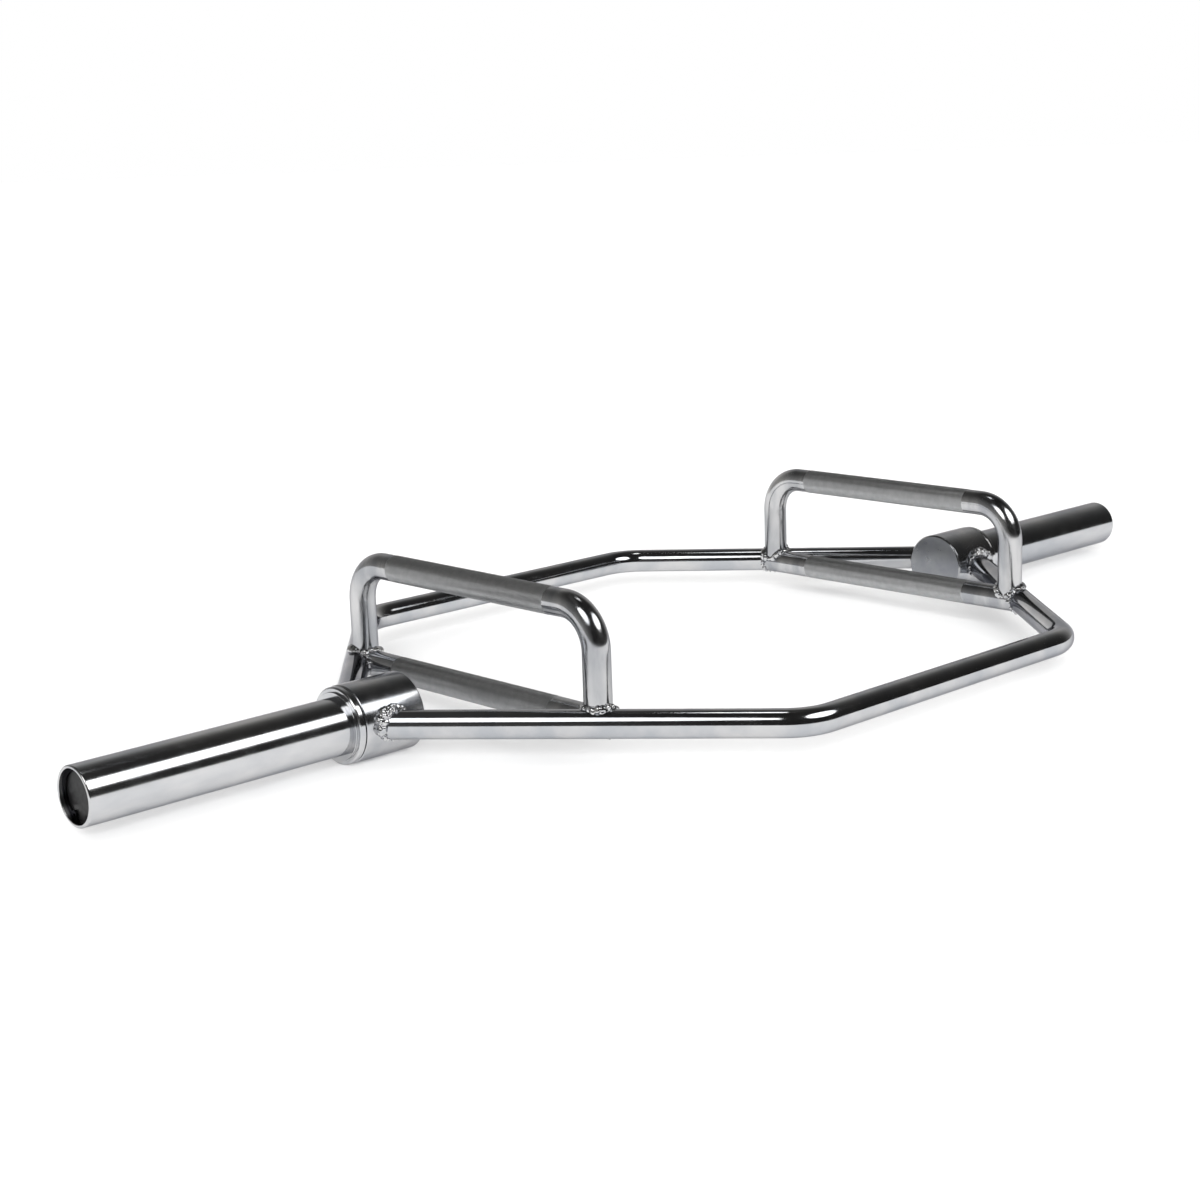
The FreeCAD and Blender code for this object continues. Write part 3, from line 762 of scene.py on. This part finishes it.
# Pale floor, matt and a little bright of itself
FLOOR_RADIUS = 40
FLOOR_TONES = ((0.8, 0.8, 0.8), (0.82, 0.82, 0.82))
FLOOR_GLOW = 0.2
floor_mesh = bpy.data.meshes.new("floor")
work = bmesh.new()
bmesh.ops.create_circle(work, cap_ends=True, segments=96, radius=FLOOR_RADIUS)
work.to_mesh(floor_mesh)
work.free()
floor = linked("floor", floor_mesh)
floor_look, tree, shader = finish("pale_floor")
tones = two_tones(tree, noise(tree, 0.6), *FLOOR_TONES)
tree.links.new(tones, shader.inputs["Base Color"])
shader.inputs["Roughness"].default_value = 0.9
shader.inputs["Specular IOR Level"].default_value = 0.0
shader.inputs["Emission Color"].default_value = (1, 1, 1, 1)
shader.inputs["Emission Strength"].default_value = FLOOR_GLOW
floor_mesh.materials.append(floor_look)


# Soft studio light
def softbox(name, azimuth, elevation, distance, width, height, strength):
    """An oval lamp turned towards the bar, which is mirrored in the chrome and leaves the floor alone."""
    data = bpy.data.lights.new(name, "AREA")
    data.shape = "ELLIPSE"
    data.size = width
    data.size_y = height
    data.energy = strength * width * height * math.pi
    turn, rise = math.radians(azimuth), math.radians(elevation)
    out = Vector((math.cos(rise) * math.cos(turn), math.cos(rise) * math.sin(turn), math.sin(rise)))
    lamp = bpy.data.objects.new(name, data)
    scene.collection.objects.link(lamp)
    facing = out.to_track_quat("Z", "Y").to_matrix().to_4x4()
    lamp.matrix_world = Matrix.Translation(out * distance) @ facing
    lamp.visible_diffuse = False


softbox("right_softbox", azimuth=-69, elevation=44, distance=3.0, width=2.4, height=1.55, strength=2.3)
softbox("left_softbox", azimuth=-159, elevation=44, distance=3.0, width=1.6, height=1.55, strength=2.3)
softbox("top_lamp", azimuth=40, elevation=80, distance=3.0, width=0.42, height=0.42, strength=2.5)

# Broad lights over the camera and overhead, for the floor and the soft shadows close under the bars
KEY_TURN = math.radians(50)
KEY_RISE = math.radians(21)
key_from = Vector((
    -math.cos(KEY_RISE) * math.cos(KEY_TURN),
    -math.cos(KEY_RISE) * math.sin(KEY_TURN),
    math.sin(KEY_RISE),
))


def broad_light(name, source, strength, spread):
    """A distant light as wide as an angle, which lights the floor and is not mirrored in the chrome."""
    data = bpy.data.lights.new(name, "SUN")
    data.energy = strength
    data.angle = math.radians(spread)
    lamp = bpy.data.objects.new(name, data)
    scene.collection.objects.link(lamp)
    lamp.matrix_world = source.to_track_quat("Z", "Y").to_matrix().to_4x4()
    lamp.visible_glossy = False


broad_light("key_light", key_from, strength=4.2, spread=40)
broad_light("overhead_light", Vector((0, 0, 1)), strength=2.0, spread=120)

# Studio walls: dark round the camera, and a pale backdrop that fades upwards behind the bar
WALL_FADE = ((0.0, 1.3), (0.2, 0.85), (0.42, 0.6), (0.6, 0.42), (0.74, 0.24), (0.87, 0.1), (1.0, 0.02))
BACKDROP_SIDE = (0.682, 0.731, 0.0)
BACKDROP_FALL = 4.0
LEFT_WALL_SIDE = (-0.707, 0.707, 0.0)
LEFT_WALL_BRIGHT = 0.32
ROOM_GLOW = 0.022
WARM_GREEN, WARM_BLUE = 0.985, 0.95
world = bpy.data.worlds.new("studio")
scene.world = world
world.use_nodes = True
tree = world.node_tree
background = tree.nodes["Background"]
looking = add(tree, "ShaderNodeTexCoord").outputs["Generated"]
height = add(tree, "ShaderNodeSeparateXYZ", {"Vector": looking}).outputs["Z"]
fade = add(tree, "ShaderNodeValToRGB", {"Fac": height})
stops = fade.color_ramp.elements
for place, bright in WALL_FADE:
    stop = stops.new(place)
    stop.color = (bright, bright, bright, 1)
stops.remove(stops[-1])
stops.remove(stops[0])


def towards(direction, start, end, brightest):
    """How much of a pale wall is met in a direction."""
    facing = add(tree, "ShaderNodeVectorMath", {0: looking, 1: direction}, operation="DOT_PRODUCT")
    return ranged(tree, facing.outputs["Value"], 0.0, brightest, start, end)


backdrop = reckon(tree, "POWER", towards(BACKDROP_SIDE, -0.1, 0.85, 1.0), BACKDROP_FALL)
left_wall = towards(LEFT_WALL_SIDE, 0.1, 0.9, LEFT_WALL_BRIGHT)
walls = reckon(tree, "MULTIPLY", fade.outputs[0], reckon(tree, "ADD", backdrop, left_wall))
studio = reckon(tree, "ADD", walls, ROOM_GLOW)
warm = add(
    tree,
    "ShaderNodeCombineColor",
    {
        "Red": studio,
        "Green": reckon(tree, "MULTIPLY", studio, WARM_GREEN),
        "Blue": reckon(tree, "MULTIPLY", studio, WARM_BLUE),
    },
).outputs[0]
seen = add(tree, "ShaderNodeLightPath").outputs["Is Camera Ray"]
shade = add(tree, "ShaderNodeMix", {"Factor": seen, 6: warm, 7: (1, 1, 1, 1)}, data_type="RGBA")
tree.links.new(shade.outputs[2], background.inputs["Color"])
background.inputs["Strength"].default_value = 1.0
scene.view_settings.view_transform = "Standard"
